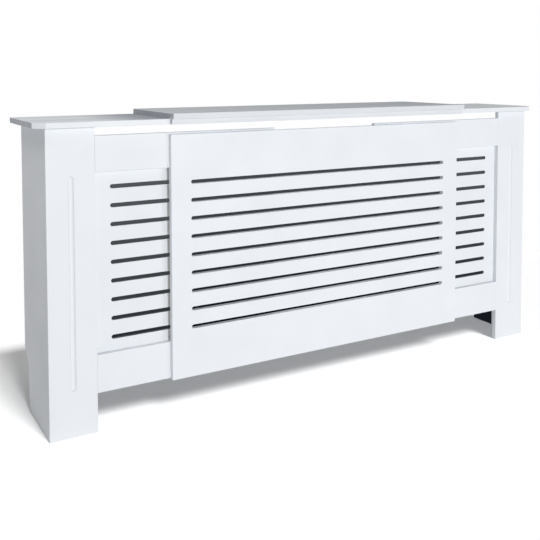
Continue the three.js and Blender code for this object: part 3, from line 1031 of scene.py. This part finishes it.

# ----------------------------------------------
# Painted shade and painted light inside the cabinet. Through its slots and under its rail the real
# one is dark,
# and through its air gap white: dark glowing sheets paint that shade behind the slots and at the
# foot, and a white glowing sheet paints the light in the air gap. Each is a one-sided sheet that
# only the camera sees, from the front, so the back of the cabinet, its light and its shadow stay
# as they are.
# ----------------------------------------------
BEHIND_GRILLE = 0.0045
SLOT_SURROUND = 0.040
# Colours of the painted shade at the lowest and highest slot, and of the painted light in the air
# gap.
SIDE_PAINTED_SHADE = ((0.024, 0.027, 0.032, 1.0), (0.086, 0.091, 0.098, 1.0))
CENTRE_PAINTED_SHADE = ((0.003, 0.004, 0.005, 1.0), (0.056, 0.060, 0.067, 1.0))
FOOT_PAINTED_SHADE = ((0.008, 0.010, 0.014, 1.0), (0.008, 0.010, 0.014, 1.0))
GAP_PAINTED_LIGHT_WHITE = ((1.0, 1.0, 1.0, 1.0), (1.0, 1.0, 1.0, 1.0))
GAP_SHEET_SPAN = (0.590, 0.760)           # distance from the middle of the cabinet
GAP_SHEET_Y = -0.060
GAP_SHEET_DROP = 0.018                    # below the top of the rail
GAP_SHEET_CLEARANCE = 0.0005              # under the top board
FOOT_SHEET_Y = 0.017
FOOT_SHEET_SPAN = (0.735, 0.8235)
FOOT_SHEET_RISE = 0.040                   # of its lower edge towards the middle
FOOT_SHEET_TOP = 0.090


def bare_material(name):
    material = bpy.data.materials.new(name)
    material.use_nodes = True
    material.node_tree.nodes.remove(material.node_tree.nodes["Principled BSDF"])
    return material


def choose(tree, mask, first, second, end):
    """Ends a tree in the first shader where the mask is 0, in the second where it is 1."""
    choice = new_node(tree, "ShaderNodeMixShader", {"Fac": mask, 1: first, 2: second})
    feed(tree.nodes[end], {"Surface": (choice, "Shader")})


def one_sided_painted_light(name, colours):
    """A glow seen from the front only: painted shade where its colours are dark, painted light
    where they are white. Its two colours belong to the lowest and highest slot.
    """
    material = bare_material(name)
    tree = material.node_tree
    place = new_node(tree, "ShaderNodeSeparateXYZ", {"Vector": object_place(tree)})
    rise = range_node(tree, (place, "Z"), 0.0, 1.0, LOWEST_SLOT, HIGHEST_SLOT)
    glow = new_node(tree, "ShaderNodeEmission", {"Color": mix_colours(tree, rise, *colours)})
    clear = new_node(tree, "ShaderNodeBsdfTransparent")
    side = new_node(tree, "ShaderNodeNewGeometry")
    choose(tree, (side, "Backfacing"), (glow, "Emission"), (clear, "BSDF"), "Material Output")
    return material


def painted_light_sheet(name, body, corners, y, material):
    """A flat sheet at one Y, given by X and Z of its corners, which moves with a body."""
    mesh = bpy.data.meshes.new(name)
    mesh.from_pydata([(x, y, z) for x, z in corners], [], [range(len(corners))])
    mesh.update()
    if mesh.polygons[0].normal.y > 0:
        mesh.flip_normals()
    sheet = new_piece(name, mesh, material)
    for ray in ("diffuse", "glossy", "transmission", "volume_scatter", "shadow"):
        setattr(sheet, f"visible_{ray}", False)
    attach(sheet, body)


def oblong_corners(left, right, low, high):
    return [(left, low), (right, low), (right, high), (left, high)]


SIDE_SHADE = one_sided_painted_light("side_shade", SIDE_PAINTED_SHADE)
CENTRE_SHADE = one_sided_painted_light("centre_shade", CENTRE_PAINTED_SHADE)
FOOT_SHADE = one_sided_painted_light("foot_shade", FOOT_PAINTED_SHADE)
GAP_PAINTED_LIGHT = one_sided_painted_light("gap_painted_light", GAP_PAINTED_LIGHT_WHITE)
slots_low = LOWEST_SLOT - SLOT_SURROUND
slots_high = HIGHEST_SLOT + SLOT_SURROUND
for hand, inward in UNITS.items():
    body = f"{hand}_unit"
    low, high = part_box(f"{hand}_grille_panel")
    corners = oblong_corners(low[0], high[0], slots_low, slots_high)
    painted_light_sheet(f"{hand}_shade", body, corners, high[1] + BEHIND_GRILLE, SIDE_SHADE)
    near, far = (-inward * x for x in GAP_SHEET_SPAN)
    rail_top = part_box(f"{hand}_upper_rail")[1][2]
    top_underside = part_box(f"{hand}_top_board")[0][2] - GAP_SHEET_CLEARANCE
    corners = oblong_corners(near, far, rail_top - GAP_SHEET_DROP, top_underside)
    painted_light_sheet(f"{hand}_gap_painted_light", body, corners, GAP_SHEET_Y, GAP_PAINTED_LIGHT)
    near, far = (-inward * x for x in FOOT_SHEET_SPAN)
    corners = [(near, FOOT_SHEET_RISE), (far, 0.0), (far, FOOT_SHEET_TOP), (near, FOOT_SHEET_TOP)]
    painted_light_sheet(f"{hand}_foot_shade", body, corners, FOOT_SHEET_Y, FOOT_SHADE)
low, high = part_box("left_guide_batten")
corners = oblong_corners(
    high[0], -high[0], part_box("left_lower_rail")[1][2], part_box("left_upper_rail")[0][2]
)
painted_light_sheet("centre_shade", "centre", corners, (low[1] + high[1]) / 2, CENTRE_SHADE)

# ----------------------------------------------
# Studio. A pale floor under a soft white surround and four soft boxes that light the cabinet:
# the key far in front, weak ones behind it, above its left end and low at its right. A sun for
# the floor alone lays the soft shadow behind the cabinet.
# ----------------------------------------------
PHOTO_SIZE = 540
FOCAL_PX = 786.9
AXIS_X_PX = 270.0
AXIS_Y_PX = 112.0
CAMERA_PLACE = (-1.3182, -2.0763, 0.9448)
CAMERA_YAW = math.radians(29.72)
CAMERA_PITCH = math.radians(3.069)
CAMERA_ROLL = math.radians(0.065)
SENSOR = 36.0

AMBIENT = 0.26
SOFT_BOXES = {                            # place, size and watts of each
    "key": ((-0.4, -8.5, 2.0), (1.1, 0.8), 362.0),
    "back": ((0.0, 5.0, 0.35), (1.4, 0.6), 85.0),
    "side": ((-1.4, -0.2, 2.2), (0.7, 0.7), 6.8),
    "fill": ((1.1, -3.2, 0.2), (0.8, 0.5), 15.0),
}
LAMP_AIM = (0.0, 0.0, 0.45)
FLOOR_SUN_HEIGHT = math.radians(42.5)
FLOOR_SUN_TURN = math.radians(3)
FLOOR_SUN_WIDTH = math.radians(18)
FLOOR_SUN_STRENGTH = 3.6
FLOOR_SEEN = 0.95
# Painted light on the floor behind the cabinet: a little white glow over the near part of its
# shadow, and full white where the shadow ends.
FLOOR_SHADOW_LIFT = (0.14, 0.44, 0.12)           # Y where it starts, Y where it ends, share of white
FLOOR_SHADOW_END = (0.56, 0.70, 1.0)             # the same, where the floor runs out into the surround
FLOOR_BOUNCE = 0.55
FLOOR_REACH = 30.0
WHITE = (1.0, 1.0, 1.0, 1.0)

scene = bpy.context.scene
scene.view_settings.view_transform = "Standard"

eye = bpy.data.cameras.new("camera")
eye.sensor_width = SENSOR
eye.lens = FOCAL_PX / PHOTO_SIZE * SENSOR
eye.shift_x = 0.5 - AXIS_X_PX / PHOTO_SIZE
eye.shift_y = AXIS_Y_PX / PHOTO_SIZE - 0.5
eye.clip_end = 100.0
camera = bpy.data.objects.new("camera", eye)
scene.collection.objects.link(camera)
camera.matrix_world = (
    Matrix.Translation(CAMERA_PLACE)
    @ Matrix.Rotation(-CAMERA_YAW, 4, "Z")
    @ Matrix.Rotation(math.pi / 2 - CAMERA_PITCH, 4, "X")
    @ Matrix.Rotation(-CAMERA_ROLL, 4, "Z")
)
scene.camera = camera


def seen_or_mirrored(tree):
    """A mask of the rays that see a thing, straight or in a glossy or clear surface."""
    path = new_node(tree, "ShaderNodeLightPath")
    mirrored = math_node(tree, "MAXIMUM", (path, "Is Glossy Ray"), (path, "Is Transmission Ray"))
    return math_node(tree, "MAXIMUM", (path, "Is Camera Ray"), mirrored)


def surround():
    """Soft ambient light, seen by the camera and in reflections as plain white."""
    world = bpy.data.worlds.new("surround")
    world.use_nodes = True
    scene.world = world
    tree = world.node_tree
    light = tree.nodes["Background"]
    feed(light, {"Color": WHITE, "Strength": AMBIENT})
    seen = new_node(tree, "ShaderNodeBackground", {"Color": WHITE})
    choose(
        tree, seen_or_mirrored(tree), (light, "Background"), (seen, "Background"), "World Output"
    )


def floor_material():
    """Pale floor that fades into the white surround behind, with a white glow, a painted light,
    that lifts the cabinet's shadow behind it and then ends it; a duller one for bounced light.
    """
    material = bare_material("floor")
    tree = material.node_tree
    place = new_node(tree, "ShaderNodeSeparateXYZ", {"Vector": object_place(tree)})
    glows = [
        range_node(tree, (place, "Y"), 0.0, share, start, end, interpolation_type="SMOOTHSTEP")
        for start, end, share in (FLOOR_SHADOW_LIFT, FLOOR_SHADOW_END)
    ]
    seen = seen_or_mirrored(tree)
    whitened = math_node(tree, "MULTIPLY", math_node(tree, "MAXIMUM", *glows), seen)
    tone = range_node(tree, seen, FLOOR_BOUNCE, FLOOR_SEEN, 0.0, 1.0)
    matte = new_node(tree, "ShaderNodeBsdfDiffuse", {"Color": tone})
    white = new_node(tree, "ShaderNodeEmission")
    choose(tree, whitened, (matte, "BSDF"), (white, "Emission"), "Material Output")
    return material


surround()
floor_mesh = bpy.data.meshes.new("floor")
floor_corners = oblong_corners(-FLOOR_REACH, FLOOR_REACH, -FLOOR_REACH, FLOOR_REACH)
floor_mesh.from_pydata([(x, y, 0.0) for x, y in floor_corners], [], [(0, 1, 2, 3)])
floor = new_piece("floor", floor_mesh, floor_material())
lit_by_floor_sun = bpy.data.collections.new("lit_by_floor_sun")
lit_by_floor_sun.objects.link(floor)
all_but_floor = bpy.data.collections.new("all_but_floor")
all_but_floor.objects.link(floor)
all_but_floor.collection_objects[0].light_linking.link_state = "EXCLUDE"


def soft_box(name, place, size, watts):
    """A broad soft lamp, aimed at the middle of the cabinet, that leaves the floor alone."""
    lamp = bpy.data.lights.new(name, "AREA")
    lamp.shape = "RECTANGLE"
    lamp.size, lamp.size_y = size
    lamp.energy = watts
    holder = bpy.data.objects.new(name, lamp)
    scene.collection.objects.link(holder)
    holder.location = place
    holder.rotation_euler = (Vector(LAMP_AIM) - Vector(place)).to_track_quat("-Z", "Y").to_euler()
    holder.light_linking.receiver_collection = all_but_floor


for name, values in SOFT_BOXES.items():
    soft_box(name, *values)
sun = bpy.data.lights.new("floor_sun", "SUN")
sun.energy = FLOOR_SUN_STRENGTH
sun.angle = FLOOR_SUN_WIDTH
floor_sun = bpy.data.objects.new("floor_sun", sun)
scene.collection.objects.link(floor_sun)
floor_sun.rotation_euler = (math.pi / 2 - FLOOR_SUN_HEIGHT, 0, FLOOR_SUN_TURN)
floor_sun.light_linking.receiver_collection = lit_by_floor_sun
